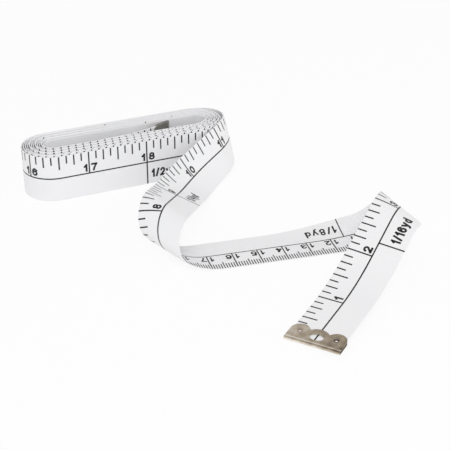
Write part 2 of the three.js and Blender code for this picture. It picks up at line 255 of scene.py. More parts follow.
# %% Inner end
INNER_END_CROSSING = 0.685
INNER_FLEX_LENGTH = 30.0
CLIP_LENGTH = 8.4
CLIP_OVERHANG = 0.45
INNER_START_STATION = PEEL_STATION + coil_lengths[-1]
last_turns = np.array([LAST_TURN, COIL_TURNS - (1 - SIDE_SHARE) / 2])
inner_start, last_back_side = spiral(last_turns, HALF_SIDE) + coil_centre
curve_length = INNER_END_LENGTH - CLIP_LENGTH
crossing = INNER_END_CROSSING * (last_back_side[1] - inner_start[1])
curve_rise = crossing / (1 + 4 * CLIP_LENGTH / curve_length)
print("inner end from station", round(INNER_START_STATION, 2), "mm, crossing", round(crossing, 2), "mm")


def inner_end(station, offset):
    """A curve of y = rise s^4 and x = length s - 8/7 rise^2 s^7 / length, which keeps the tape's length, then
    straight on inside the clip. It climbs by the clip's overhang on a smooth step."""
    length = station - INNER_START_STATION
    share = np.minimum(length / curve_length, 1)
    beyond = length - share * curve_length
    slope = 4 * curve_rise * share ** 3 / curve_length
    forward = share * curve_length - 8 * curve_rise ** 2 * share ** 7 / (7 * curve_length)
    x = inner_start[0] + forward + beyond * np.sqrt(1 - slope ** 2)
    y = inner_start[1] + curve_rise * share ** 4 + beyond * slope
    climb = CLIP_OVERHANG * smooth_step(length / (INNER_END_LENGTH - INNER_FLEX_LENGTH))
    return np.stack([x, y, HALF_WIDTH + offset + climb], -1)


# %% [markdown]
# ## One surface for the whole tape
# The four stretches are joined into one function of station and offset. A second function gives the frame
# there: the point, the normal out of the inch face and the direction across the tape, from small steps each
# way. The tape's faces, its edges, its ink and its clips are all placed with it.

# %% Surface and frame of the tape
def tape_point(station, offset):
    """Middle surface of the whole tape, from the zero end to the inner end."""
    station, offset = np.broadcast_arrays(np.asarray(station, float), np.asarray(offset, float))
    point = free_tape(np.minimum(station, SWING_STATION), offset)
    starts = ((SWING_STATION, swing), (PEEL_STATION, wound_tape), (INNER_START_STATION, inner_end))
    for start, surface in starts:
        beyond = station > start
        if beyond.any():
            point[beyond] = surface(station[beyond], offset[beyond])
    return point


def unit(vector):
    """Vectors divided by their length."""
    return vector / np.linalg.norm(vector, axis=-1, keepdims=True)


def tape_frame(station, offset, step=0.02):
    """Point, normal out of the inch face and direction across, where normal = along x across."""
    station, offset = np.broadcast_arrays(np.asarray(station, float), np.asarray(offset, float))
    along = tape_point(station + step, offset) - tape_point(station - step, offset)
    across = unit(tape_point(station, offset + step) - tape_point(station, offset - step))
    return tape_point(station, offset), unit(np.cross(along, across)), across


print("inner end of the tape, mm:", np.round(tape_point(TAPE_LENGTH, 0.0), 2))


# %% [markdown]
# ## Meshes from arrays
# A piece is a block of vertices and a block of faces, both worked out as whole arrays. The helper below puts
# them into a mesh in metres, with its place in its vertices, and can set the smooth normals and a UV map
# that holds station and offset in millimetres, so that a pattern follows the cloth.

# %% Mesh helper
def mesh_piece(name, points, faces, material, normals=None, uv=None):
    """A mesh object from points in millimetres and a list of face arrays of any number of corners."""
    mesh = bpy.data.meshes.new(name)
    polygons = [polygon for block in faces for polygon in np.asarray(block).tolist()]
    mesh.from_pydata((np.asarray(points) * MM).tolist(), [], polygons)
    mesh.update()
    mesh.polygons.foreach_set("use_smooth", np.ones(len(mesh.polygons), bool))
    corners = np.zeros(len(mesh.loops), np.int32)
    mesh.loops.foreach_get("vertex_index", corners)
    if uv is not None:
        layer = mesh.uv_layers.new(name="tape")
        layer.data.foreach_set("uv", np.asarray(uv, np.float32)[corners].ravel())
    if normals is not None:
        mesh.normals_split_custom_set_from_vertices(np.asarray(normals, np.float32).tolist())
    mesh.materials.append(material)
    piece = bpy.data.objects.new(name, mesh)
    bpy.context.scene.collection.objects.link(piece)
    return piece


print("pieces are built in metres: 1 mm is", MM)

# %% [markdown]
# ## Colours
# Colours are written as sRGB hex values, as a colour picker shows them, and Blender wants them linear. One
# function does that. Another adds a shader node with its settings and its links in one line.

# %% Colour and node helpers
def linear(hex_colour):
    """sRGB hex to linear: c/12.92 below 0.04045, else ((c+0.055)/1.055)^2.4."""
    parts = [int(hex_colour[i:i + 2], 16) / 255 for i in (1, 3, 5)]
    return tuple(c / 12.92 if c <= 0.04045 else ((c + 0.055) / 1.055) ** 2.4 for c in parts) + (1.0,)


def add_node(material, kind, inputs=None, **settings):
    """Adds a node of that kind, sets its properties, and sets or links each named input."""
    node = material.node_tree.nodes.new(kind)
    for key, value in settings.items():
        setattr(node, key, value)
    for key, value in (inputs or {}).items():
        if isinstance(value, bpy.types.NodeSocket):
            material.node_tree.links.new(value, node.inputs[key])
        else:
            node.inputs[key].default_value = value
    return node


def new_material(name):
    """An empty node material and its output node."""
    material = bpy.data.materials.new(name)
    material.use_nodes = True
    material.node_tree.nodes.clear()
    return material, add_node(material, "ShaderNodeOutputMaterial")


print("sRGB #808080 is linear", round(linear("#808080")[0], 3))

# %% [markdown]
# ## Coated glass cloth
# The tape is a plain weave of glass yarn, coated on both sides with white vinyl and calendered smooth. To the
# eye it is a clean white with a satin skin, a trace of the weave under the coat, and slightly uneven gloss.
# The yarns are about 0.35 mm apart. That is too fine to show in the picture, so the weave is drawn at 0.7 mm.

# %% Material of the tape
WEAVE_MM, CLOUD_MM = 0.7, 14
BAND_SCALE = 2 * math.pi / (20 * WEAVE_MM)
cloth, cloth_out = new_material("vinyl_coated_glass_cloth")
place = add_node(cloth, "ShaderNodeUVMap", uv_map="tape").outputs["UV"]
warp = add_node(cloth, "ShaderNodeTexWave", {"Vector": place, "Scale": BAND_SCALE}, bands_direction="X")
weft = add_node(cloth, "ShaderNodeTexWave", {"Vector": place, "Scale": BAND_SCALE}, bands_direction="Y")
weave = add_node(cloth, "ShaderNodeMath", {
    0: warp.outputs["Fac"], 1: weft.outputs["Fac"]}, operation="MULTIPLY").outputs[0]
skin = add_node(cloth, "ShaderNodeBump", {"Height": weave, "Strength": 0.06, "Distance": 0.02 * MM})
cloud_noise = add_node(cloth, "ShaderNodeTexNoise", {"Vector": place, "Scale": 1 / CLOUD_MM, "Detail": 3.0})
cloud = cloud_noise.outputs["Fac"]
tone = add_node(cloth, "ShaderNodeMix", {"Factor": cloud, "A": linear("#F6F6F8"), "B": linear("#FAFAFB")},
                data_type="RGBA")
gloss = add_node(cloth, "ShaderNodeMapRange", {"Value": cloud, "To Min": 0.34, "To Max": 0.48})
cloth_skin = add_node(cloth, "ShaderNodeBsdfPrincipled", {
    "Base Color": tone.outputs["Result"], "Roughness": gloss.outputs["Result"], "IOR": 1.5,
    "Normal": skin.outputs["Normal"]})
cloth.node_tree.links.new(cloth_skin.outputs["BSDF"], cloth_out.inputs["Surface"])
print("made", cloth.name)

# %% [markdown]
# ## Tape pieces
# The tape is shown as nine pieces. Five ride on the five bodies, and a short piece over each hinge, fixed in
# place, joins one to the next. A piece is a thin rectangle, rounded at its coated edges, carried along the
# tape between two cuts. A cut at a fold is slanted like the fold, because the fold's straight line is its
# hinge.
# Neighbouring pieces share the same last section and take their normals from the same formula, so no seam
# shows.

# %% Section of the tape
EDGE_ROUND = 0.2
LEAST_LEAN, MOST_LEAN = 0.05, 0.95
edge_columns = HALF_WIDTH - EDGE_ROUND * np.array([0.0, 0.3, 1.0])
face_columns = HALF_WIDTH * np.array([0.93, 0.84, 0.72, 0.6, 0.48, 0.36, 0.24, 0.12])
half_columns = np.concatenate([edge_columns, face_columns])
section_offset = np.concatenate([-half_columns, [0.0], half_columns[::-1]])
edge_in = np.clip((EDGE_ROUND - (HALF_WIDTH - np.abs(section_offset))) / EDGE_ROUND, 0, 1)
section_height = HALF_THICKNESS - EDGE_ROUND * (1 - np.sqrt(1 - edge_in ** 2))
section_lean = np.sign(section_offset) * np.where(edge_in > 0, np.clip(edge_in, LEAST_LEAN, MOST_LEAN), 0)
print("points round the section:", 2 * len(section_offset))


def tape_piece(name, cut_from, cut_to, stations):
    """The section carried between two cuts. A cut is (station, slope): station + slope * offset. Stations run
    from 0 to 1 between the cuts. Each point is the middle surface moved along the normal by the section's
    height."""
    start = cut_from[0] + cut_from[1] * section_offset
    finish = cut_to[0] + cut_to[1] * section_offset
    station = start + (finish - start) * stations[:, None]
    offset = np.broadcast_to(section_offset, station.shape)
    point, normal, across = tape_frame(station, offset)
    upright = np.sqrt(1 - section_lean ** 2)[:, None]
    top = point + normal * section_height[:, None]
    bottom = point - normal * section_height[:, None]
    points = np.concatenate([top, bottom[:, ::-1]], 1)
    top_normal = normal * upright + across * section_lean[:, None]
    bottom_normal = across * section_lean[:, None] - normal * upright
    normals = np.concatenate([top_normal, bottom_normal[:, ::-1]], 1)
    uv = np.stack([station, offset], -1)
    uv = np.concatenate([uv, uv[:, ::-1]], 1)
    rows, loop = points.shape[:2]
    i, j = np.meshgrid(np.arange(rows - 1), np.arange(loop), indexing="ij")
    k = (j + 1) % loop
    sides = np.stack([i * loop + j, (i + 1) * loop + j, (i + 1) * loop + k, i * loop + k], -1).reshape(-1, 4)
    c = np.arange(loop // 2 - 1)
    cap = np.stack([c, c + 1, loop - 2 - c, loop - 1 - c], -1)
    last = (rows - 1) * loop
    return mesh_piece(name, points.reshape(-1, 3), [sides, cap, cap[:, ::-1] + last], cloth,
                      normals.reshape(-1, 3), uv.reshape(-1, 2))


# %% Cuts between the pieces
def fold_cut(fold, station, reach):
    """A cut parallel to a fold's crest, at a distance along the tape square to the crest."""
    slant = math.radians(fold[1])
    return station + reach / math.cos(slant), math.tan(slant)


END_CREST = ROOT_STATION - END_FOLD[0]
LEAD_CREST = ROOT_STATION + LEAD_FOLD[0]
INNER_HINGE = TAPE_LENGTH - INNER_FLEX_LENGTH
END_REACH, LEAD_REACH, PEEL_REACH, INNER_REACH = 12.0, 9.0, 9.0, 6.0
cuts = [
    (0.0, 0.0),
    fold_cut(END_FOLD, END_CREST, -END_REACH), fold_cut(END_FOLD, END_CREST, END_REACH),
    fold_cut(LEAD_FOLD, LEAD_CREST, -LEAD_REACH), fold_cut(LEAD_FOLD, LEAD_CREST, LEAD_REACH),
    (PEEL_STATION - PEEL_REACH, 0.0), (PEEL_STATION + PEEL_REACH, 0.0),
    (INNER_HINGE - INNER_REACH, 0.0), (INNER_HINGE + INNER_REACH, 0.0),
    (TAPE_LENGTH, 0.0),
]
stretch_names = ["free_end", "end_fold", "flat_run", "lead_fold", "lead", "peel", "coil", "inner_bend",
                 "inner_end"]
print("cuts at", [round(float(cut[0]), 1) for cut in cuts])

# %% Bodies that the pieces move with
BEND_SHARE = 0.85
NO_FOLD = (0.0, 0.0)


def bend_points(fold, station, reach):
    """Two points of the tape on either side of a crest, square to it on the flat tape, at a share of the
    reach. The cloth goes over from one body to the next between them."""
    slant = math.radians(fold[1])
    shift = BEND_SHARE * np.array([-reach, reach])
    point = tape_point(station + shift * math.cos(slant), -shift * math.sin(slant))
    return tuple(point[0] * MM), tuple(point[1] * MM)


stretch_motion = {
    "free_end": ("free_end",), "flat_run": ("run",), "lead": ("lead",), "coil": ("coil",),
    "inner_end": ("inner_end",),
    "end_fold": ("free_end", "run", *bend_points(END_FOLD, END_CREST, END_REACH)),
    "lead_fold": ("run", "lead", *bend_points(LEAD_FOLD, LEAD_CREST, LEAD_REACH)),
    "peel": ("lead", "coil", *bend_points(NO_FOLD, PEEL_STATION, PEEL_REACH)),
    "inner_bend": ("coil", "inner_end", *bend_points(NO_FOLD, INNER_HINGE, INNER_REACH)),
}
print("pieces that bend:", [stretch for stretch, motion in stretch_motion.items() if len(motion) > 1])


def set_moving(piece, stretch):
    """A piece rides on its stretch's body, or, over a hinge, is fixed in place where it is."""
    motion = stretch_motion[stretch]
    if len(motion) == 1:
        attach(piece, motion[0])
    else:
        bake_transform(piece)


# %% Cloth of each stretch
TAPE_STEP, ROUND_STEP, SIDE_STEP, TAIL_STEP = 0.7, 0.4, 6.0, 1.0
ROUND_MARGIN = 0.004


def coil_steps(start, finish):
    """Stations of the coil's sections from 0 to 1: close together on the round ends, sparse on the sides."""
    share = (turn_samples * 2) % 1
    round_end = (share > SIDE_SHARE - ROUND_MARGIN) | (share < ROUND_MARGIN)
    density = np.where(round_end, 1 / ROUND_STEP, 1 / SIDE_STEP)
    count = np.concatenate([[0.0], np.cumsum(density[1:] * np.diff(coil_lengths))])
    station = np.interp(np.arange(0, count[-1]), count, coil_lengths) + PEEL_STATION
    tail = np.arange(INNER_START_STATION, finish, TAIL_STEP)
    wound = station[(station > start) & (station < INNER_START_STATION)]
    station = np.concatenate([[start], wound, tail, [finish]])
    return (station - start) / (finish - start)


def even_steps(start, finish):
    """Evenly spaced stations from 0 to 1, no more than a step of the tape apart."""
    return np.linspace(0, 1, int(math.ceil((finish - start) / TAPE_STEP)) + 1)


tape_pieces = {}
for number, stretch in enumerate(stretch_names):
    begin, end = cuts[number], cuts[number + 1]
    steps = coil_steps if stretch == "coil" else even_steps
    tape_pieces[stretch] = tape_piece("tape_" + stretch + "_cloth", begin, end, steps(begin[0], end[0]))
print("tape triangles:", 2 * sum(len(piece.data.polygons) for piece in tape_pieces.values()))

# %% [markdown]
# ## Printing
# The scale is printed in black ink, which lies on the coat as a film. One face has inches: ticks each eighth
# from one edge, longer at quarters and halves, inch lines down to the middle line, with the figures beside
# them, and fractions of a yard in the other half. The other face has millimetres in the same way from the
# other edge. Node patterns can't write figures, so the print is thin films of geometry, laid out on the flat
# tape and carried onto it with the tape's own function.

# %% Ink
FILM, SPECKLE = 0.03, 0.5
ink, ink_out = new_material("black_screen_ink")
ink_place = add_node(ink, "ShaderNodeTexCoord").outputs["Object"]
speckle = add_node(ink, "ShaderNodeTexNoise", {
    "Vector": ink_place, "Scale": 1 / (SPECKLE * MM), "Detail": 2.0})
ink_tone = add_node(ink, "ShaderNodeMix", {
    "Factor": speckle.outputs["Fac"], "A": linear("#0B0B0D"), "B": linear("#1A1A1E")}, data_type="RGBA")
ink_skin = add_node(ink, "ShaderNodeBsdfPrincipled", {
    "Base Color": ink_tone.outputs["Result"], "Roughness": 0.36, "IOR": 1.5})
ink.node_tree.links.new(ink_skin.outputs["BSDF"], ink_out.inputs["Surface"])
prints = {stretch: [] for stretch in stretch_names}
print("made", ink.name)

# %% [markdown]
# ## The pen
# Ticks, lines and figures are all lines of one width, so one pen draws them. At each point of a path it sets
# a wedge: two corners on top, half the pen's width to either side, and one below, which is inside the cloth.
# The path is stepped each 0.7 mm, so that a line can follow a fold. A tick on the coil needs no steps, as
# the wound tape is straight across, and that keeps the coil's thousands of ticks light.


# %% Pen strokes
PEN_STEP = 0.7


def stepped(path, step):
    """A path with extra points, so that no part of it is longer than the step."""
    counts = np.ceil(np.linalg.norm(np.diff(path, axis=0), axis=1) / step).astype(int)
    parts = [np.linspace(a, b, count, endpoint=False) for a, b, count in zip(path, path[1:], counts)]
    return np.concatenate([*parts, path[-1:]])


def stroke(path, pen, beyond=0.0, step=PEN_STEP):
    """Points (x, y, level) and faces of a pen line along a path. The level is 1 on top and -1 below. An open
    line goes beyond both ends of its path."""
    path = stepped(np.asarray(path, float), step)
    way = unit(np.gradient(path, axis=0))
    if np.allclose(path[0], path[-1]):
        way[0] = way[-1] = unit(path[1] - path[-2])
    else:
        path[0], path[-1] = path[0] - way[0] * beyond, path[-1] + way[-1] * beyond
    side = np.stack([-way[:, 1], way[:, 0]], -1) * pen / 2
    plan = np.stack([path + side, path - side, path], 1)
    level = np.broadcast_to(np.array([1.0, 1.0, -1.0])[:, None], (*plan.shape[:2], 1))
    points = np.concatenate([plan, level], -1).reshape(-1, 3)
    i, j = np.meshgrid(np.arange(len(path) - 1), np.arange(3), indexing="ij")
    k = (j + 1) % 3
    sides = np.stack([i * 3 + j, i * 3 + k, i * 3 + 3 + k, i * 3 + 3 + j], -1).reshape(-1, 4)
    last = len(points) - 3
    return points, [sides.tolist(), [[1, 0, 2], [last, last + 1, last + 2]]]


def print_on(shape, station, offset, face, stretch=None):
    """Prints a shape with its origin at a place. On the inch face, 1, it is read with +offset upwards, and on
    the other face, -1, with -offset upwards."""
    points, faces = shape
    flat = np.stack([station + points[:, 0], face * (offset + points[:, 1]),
                     face * (HALF_THICKNESS + FILM * points[:, 2])], -1)
    middle = (flat.min(0) + flat.max(0)) / 2
    inside = [middle[0] >= cut[0] + cut[1] * middle[1] for cut in cuts[1:-1]]
    prints[stretch or stretch_names[sum(inside)]].append((flat, faces))


sample_line = stroke([(0, 0), (0, HALF_WIDTH)], FILM)
print("a line across half the tape takes", len(sample_line[0]), "points")

# %% [markdown]
# ## Ticks and lines
# The inch face has ticks at each eighth of an inch, the other face at each millimetre, and both have longer
# ones at rounder values. The longest reach the middle line. On the inch face that line is printed 0.2 mm off
# the middle of the tape.

# %% Ticks
INCH_FACE, CM_FACE = 1, -1
INCH_MIDDLE, CM_MIDDLE = 0.2, 0.0
INCH_MIDDLE_PEN, CM_MIDDLE_PEN = 0.56, 0.42
TICK_MARGIN = 0.12
INCH_PEN, CM_PEN, CM_LINE_PEN = 0.58, 0.39, 0.48
# each kind of tick, the longest first: one in how many, its length and its pen
inch_ticks = [(8, HALF_WIDTH - INCH_MIDDLE, INCH_PEN), (4, 5.9, INCH_PEN), (2, 4.7, INCH_PEN),
              (1, 3.6, INCH_PEN)]
cm_ticks = [(10, HALF_WIDTH - CM_MIDDLE, CM_LINE_PEN), (5, 4.6, CM_PEN), (1, 3.4, CM_PEN)]


def ticks(spacing, kinds, face):
    """Ticks from the edge inwards. A tick has the first kind whose number divides its own."""
    for number in range(1, int(TAPE_LENGTH / spacing)):
        length, pen = next((length, pen) for every, length, pen in kinds if number % every == 0)
        path = [(0, HALF_WIDTH - length), (0, HALF_WIDTH - TICK_MARGIN)]
        step = PEN_STEP if number * spacing < PEEL_STATION else TAPE_WIDTH
        print_on(stroke(path, pen, step=step), number * spacing, 0, face)


ticks(INCH / 8, inch_ticks, INCH_FACE)
ticks(1.0, cm_ticks, CM_FACE)
for number, stretch in enumerate(stretch_names):
    ends = [(cuts[number][0], 0), (cuts[number + 1][0], 0)]
    print_on(stroke(ends, INCH_MIDDLE_PEN), 0, INCH_MIDDLE, INCH_FACE, stretch)
    print_on(stroke(ends, CM_MIDDLE_PEN), 0, CM_MIDDLE, CM_FACE, stretch)
print("ticks and lines:", sum(len(shapes) for shapes in prints.values()))

# %% [markdown]
# ## Figures
# The figures are plain bold numerals of even weight. Each is drawn with the pen from straight lines and parts
# of ellipses, in a box of 1 by 1 that is then given its height and width. A built-in font has far more faces
# for a figure and another weight.


# %% Figure shapes
def arc(x, y, radius_x, radius_y, start, finish, count=9):
    """Points of a part of an ellipse: (x + rx cos a, y + ry sin a), with a in degrees."""
    angle = np.radians(np.linspace(start, finish, count))
    return np.stack([x + radius_x * np.cos(angle), y + radius_y * np.sin(angle)], -1)


six = [arc(0.5, 0.31, 0.5, 0.31, 90, 450, 12), arc(0.55, 0.45, 0.55, 0.55, 185, 40)]
# each figure: its share of the full width, and its pen lines
figure_lines = {
    "0": (1.0, [arc(0.5, 0.5, 0.5, 0.5, 90, 450, 13)]),
    "1": (0.65, [[(0.85, 1), (0.85, 0)], [(0.8, 0.95), (0, 0.72)]]),
    "2": (1.0, [np.concatenate([arc(0.5, 0.7, 0.48, 0.3, 165, -25), [(0.05, 0.03)]]), [(0, 0), (1, 0)]]),
    "3": (1.0, [arc(0.47, 0.75, 0.43, 0.25, 160, -90), arc(0.47, 0.26, 0.53, 0.26, 90, -165)]),
    "4": (1.0, [[(0.68, 1), (0, 0.27)], [(0, 0.27), (1, 0.27)], [(0.72, 1), (0.72, 0)]]),
    "5": (1.0, [[(0.95, 1), (0.18, 1)], [(0.18, 1), (0.06, 0.47)], arc(0.47, 0.32, 0.53, 0.33, 150, -160)]),
    "6": (1.0, six),
    "7": (1.0, [[(0, 1), (1, 1)], [(0.97, 0.95), (0.55, 0.45), (0.34, 0)]]),
    "8": (1.0, [arc(0.5, 0.755, 0.43, 0.245, 90, 450, 11), arc(0.5, 0.265, 0.5, 0.265, 90, 450, 12)]),
    "9": (1.0, [1 - line for line in six]),
    "/": (0.75, [[(0, 0), (1, 1)]]),
    "y": (1.0, [[(0, 0.68), (0.5, 0.02)], [(1, 0.68), (0.4, -0.2), (0.15, -0.24)]]),
    "d": (1.0, [arc(0.45, 0.33, 0.45, 0.34, 90, 450, 12), [(0.95, 1), (0.95, 0)]]),
    " ": (0.4, []),
}


def text_shape(text, height, width, pen, space):
    """Points and faces of a text from x = 0 and a base line of y = 0, and its length."""
    points, faces, first, x = [], [], 0, 0.0
    for letter in text:
        share, lines = figure_lines[letter]
        box = np.array([width * share - pen, height - pen])
        for line in lines:
            line_points, line_faces = stroke(np.asarray(line) * box + [x + pen / 2, pen / 2], pen, pen / 2)
            points.append(line_points)
            faces += [(np.array(block) + first).tolist() for block in line_faces]
            first += len(line_points)
        x += width * share + space
    return (np.concatenate(points), faces), x - space


print("figures drawn:", " ".join(figure_lines))


# %% Figures of both scales
def number_at(value, station, face, base, gaps, style):
    """A number at its line: the last figure to the right of it, any others to its left."""
    text = str(value)
    print_on(text_shape(text[-1], *style)[0], station + gaps[1], base, face)
    if len(text) > 1:
        shape, length = text_shape(text[:-1], *style)
        print_on(shape, station - gaps[0] - length, base, face)


LAST_INCH, LAST_CM = 95, 242
INCH_BASE, CM_BASE = INCH_MIDDLE + 0.85, CM_MIDDLE + 0.8
INCH_GAPS, CM_GAPS = (0.65, 0.85), (1.0, 0.55)
# a style is the height, width, pen and space of its figures
INCH_STYLE = (3.5, 2.7, 0.84, 0.35)
CM_STYLE = (3.2, 2.3, 0.64, 0.4)
for inch in range(1, LAST_INCH + 1):
    number_at(inch, inch * INCH, INCH_FACE, INCH_BASE, INCH_GAPS, INCH_STYLE)
for centimetre in range(1, LAST_CM + 1):
    number_at(centimetre, centimetre * 10.0, CM_FACE, CM_BASE, CM_GAPS, CM_STYLE)
print("numbers written to", LAST_INCH, "inches and", LAST_CM, "centimetres")

# %% [markdown]
# ## Fractions of a yard
# Cloth is sold by the yard, so each eighth of a yard has a line across the plain half of both faces, with its
# fraction beside it. The first sixteenth is marked on the inch face too.


# %% Yard marks
def yard_text(eighth):
    """The fraction of a yard in lowest terms, with whole yards in front."""
    whole, part = divmod(eighth, 8)
    common = math.gcd(part, 8)
    fraction = f"{part // common}/{8 // common}" if part else ""
    return (f"{whole} {fraction}".strip() if whole else fraction) + "yd"


def yard_mark(station, text, face, middle, pen, place, style):
    """A line from the middle line to the plain edge and its fraction to the right of it."""
    print_on(stroke([(0, TICK_MARGIN - HALF_WIDTH), (0, middle)], pen), station, 0, face)
    print_on(text_shape(text, *style)[0], station + place[0], place[1], face)


YARD_EIGHTH, LAST_EIGHTH = 4.5 * INCH, 21
INCH_YARD_PLACE, CM_YARD_PLACE = (1.9, -7.2), (1.4, -6.9)
INCH_YARD_STYLE, CM_YARD_STYLE = (3.9, 2.32, 0.86, 0.3), (3.8, 2.35, 0.68, 0.6)
inch_yard = (INCH_FACE, INCH_MIDDLE, INCH_PEN, INCH_YARD_PLACE, INCH_YARD_STYLE)
cm_yard = (CM_FACE, CM_MIDDLE, CM_MIDDLE_PEN, CM_YARD_PLACE, CM_YARD_STYLE)
yard_mark(YARD_EIGHTH / 2, "1/16yd", *inch_yard)
for eighth in range(1, LAST_EIGHTH + 1):
    for yard in (inch_yard, cm_yard):
        yard_mark(eighth * YARD_EIGHTH, yard_text(eighth), *yard)
print("printed shapes:", sum(len(shapes) for shapes in prints.values()))

# %% [markdown]
# ## Ink pieces
# All the films of a stretch become one piece. Their flat places go through the tape's function at once, and
# the piece then rides on a body or stays fixed, as its cloth does.

# %% Print each stretch
def ink_piece(stretch):
    """All films of a stretch: point = middle surface + normal * height."""
    flats, faces, first = [], [], 0
    for flat, blocks in prints[stretch]:
        flats.append(flat)
        faces += [np.array(block) + first for block in blocks]
        first += len(flat)
    flat = np.concatenate(flats)
    point, normal, _ = tape_frame(flat[:, 0], flat[:, 1])
    piece = mesh_piece("tape_" + stretch + "_print", point + normal * flat[:, 2:], faces, ink)
    piece.data.polygons.foreach_set("use_smooth", np.zeros(len(piece.data.polygons), bool))
    return piece


ink_pieces = {stretch: ink_piece(stretch) for stretch in stretch_names}
print("ink faces:", {stretch: len(piece.data.polygons) for stretch, piece in ink_pieces.items()})

# %% [markdown]
# ## Moving the cloth
# Each stretch of cloth and its ink move together, and the five stretches on the bodies stand for the five
# plain solids.

# %% Ride or stay fixed, and hide the plain solids
stands_for = {"free_end": "tape_end", "flat_run": "tape_run", "lead": "tape_lead", "coil": "tape_coil",
              "inner_end": "tape_inner_end"}
for number, stretch in enumerate(stretch_names):
    cloth_piece, print_piece = tape_pieces[stretch], ink_pieces[stretch]
    set_moving(cloth_piece, stretch)
    set_moving(print_piece, stretch)
    if stretch in stands_for:
        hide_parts(stands_for[stretch])
print("declared", len(stretch_names), "stretches of cloth")

# %% [markdown]
# ## Nickel-plated clips
# Each clip is stamped from thin steel, folded over the tape's end and pressed: two leaves with three lobes, a
# window in the middle and two pierced dimples that grip the cloth. It is plated with nickel in a warm,
# brownish tone. The flat blank is a fine grid that is trimmed to an outline with holes, and it is then folded
# with a formula, as the press does it. Solidify and Bevel give it the sheet's thickness and its soft edges.
# Handling rubs the raised places bright and tarnish stays in the hollows. On top of that the bead is painted
# lighter, a painted highlight, and the groove and the dishes darker, painted shade. Each point keeps this as
# an attribute that the material reads. The tone is also painted lighter towards one edge, a painted lighting
# gradient. The clip inside the coil is painted darker, as painted shade for the coil's shaded hollow, and has
# grey mixed into its tone.

# %% Material of the clips
SIDE_LIGHT_DRIFT, PAINTED_LIGHT_AND_WEAR_WEIGHT = 0.02, 0.45
plate, plate_out = new_material("warm_nickel_plate")
plate_place = add_node(plate, "ShaderNodeUVMap", uv_map="tape").outputs["UV"]
grain_map = add_node(plate, "ShaderNodeMapping", {"Vector": plate_place, "Scale": (4.0, 0.25, 1.0)})
grain = add_node(plate, "ShaderNodeTexNoise", {"Vector": grain_map.outputs[0], "Scale": 2.0, "Detail": 4.0})
stain = add_node(plate, "ShaderNodeTexNoise", {"Vector": plate_place, "Scale": 0.3, "Detail": 3.0})
across = add_node(plate, "ShaderNodeSeparateXYZ", {"Vector": plate_place}).outputs["Y"]
# Random stain from noise, plus a drift across the clip that paints one side lighter: a painted lighting
# gradient.
stain_and_side_light = add_node(plate, "ShaderNodeMath", {0: across, 1: SIDE_LIGHT_DRIFT, 2: stain.outputs["Fac"]},
                   operation="MULTIPLY_ADD")
# This attribute is high on the bead, a painted highlight, and low in the groove and dishes, painted shade as
# well as tarnish.
wear_and_painted_light = add_node(plate, "ShaderNodeAttribute", attribute_name="wear_and_painted_light").outputs["Fac"]
plate_tone_factor = add_node(plate, "ShaderNodeMath", {0: wear_and_painted_light, 1: PAINTED_LIGHT_AND_WEAR_WEIGHT, 2: stain_and_side_light.outputs[0]},
                operation="MULTIPLY_ADD", use_clamp=True)
plate_tone = add_node(plate, "ShaderNodeValToRGB", {"Fac": plate_tone_factor.outputs[0]})
plate_tone.color_ramp.elements[0].color = linear("#463C31")
plate_tone.color_ramp.elements[1].color = linear("#F2E9DC")
plate_tone.color_ramp.elements.new(0.5).color = linear("#BCAD99")
# Mixes grey into the clip's tone by a share that each clip sets.
grey_share = add_node(plate, "ShaderNodeAttribute", attribute_name="grey_share").outputs["Fac"]
plate_colour = add_node(plate, "ShaderNodeMix", {
    "Factor": grey_share, "A": plate_tone.outputs["Color"], "B": linear("#A8B0B4")}, data_type="RGBA")
plate_gloss = add_node(plate, "ShaderNodeMapRange", {
    "Value": grain.outputs["Fac"], "To Min": 0.18, "To Max": 0.34})
plate_bump = add_node(plate, "ShaderNodeBump", {
    "Height": grain.outputs["Fac"], "Strength": 0.08, "Distance": 0.02 * MM})
plate_skin = add_node(plate, "ShaderNodeBsdfPrincipled", {
    "Base Color": plate_colour.outputs["Result"], "Metallic": 1.0,
    "Roughness": plate_gloss.outputs["Result"], "Normal": plate_bump.outputs["Normal"]})
plate.node_tree.links.new(plate_skin.outputs["BSDF"], plate_out.inputs["Surface"])
print("made", plate.name)

# %% Outline of the blank
CLIP_SHEET, CLIP_CLEARANCE = 0.3, 0.15
LEAF_HEIGHT = HALF_THICKNESS + CLIP_CLEARANCE + CLIP_SHEET / 2
CLIP_HALF_WIDTH = HALF_WIDTH + CLIP_OVERHANG
SIDE_LOBE_RADIUS, SIDE_LOBE_REACH = 3.6, 4.8
MIDDLE_LOBE_RADIUS, MIDDLE_LOBE_REACH = 4.8, 3.2
SIDE_LOBE_OFFSET = CLIP_HALF_WIDTH - SIDE_LOBE_RADIUS
WINDOW_REACH, WINDOW_HALF_LENGTH, WINDOW_HALF_WIDTH = 3.6, 1.7, 2.6
PIERCING = 0.5
FOLD_LENGTH = math.pi * LEAF_HEIGHT / 2
BLANK_HALF_LENGTH = FOLD_LENGTH + SIDE_LOBE_REACH + SIDE_LOBE_RADIUS
print("blank", round(2 * BLANK_HALF_LENGTH, 2), "x", 2 * CLIP_HALF_WIDTH, "mm")


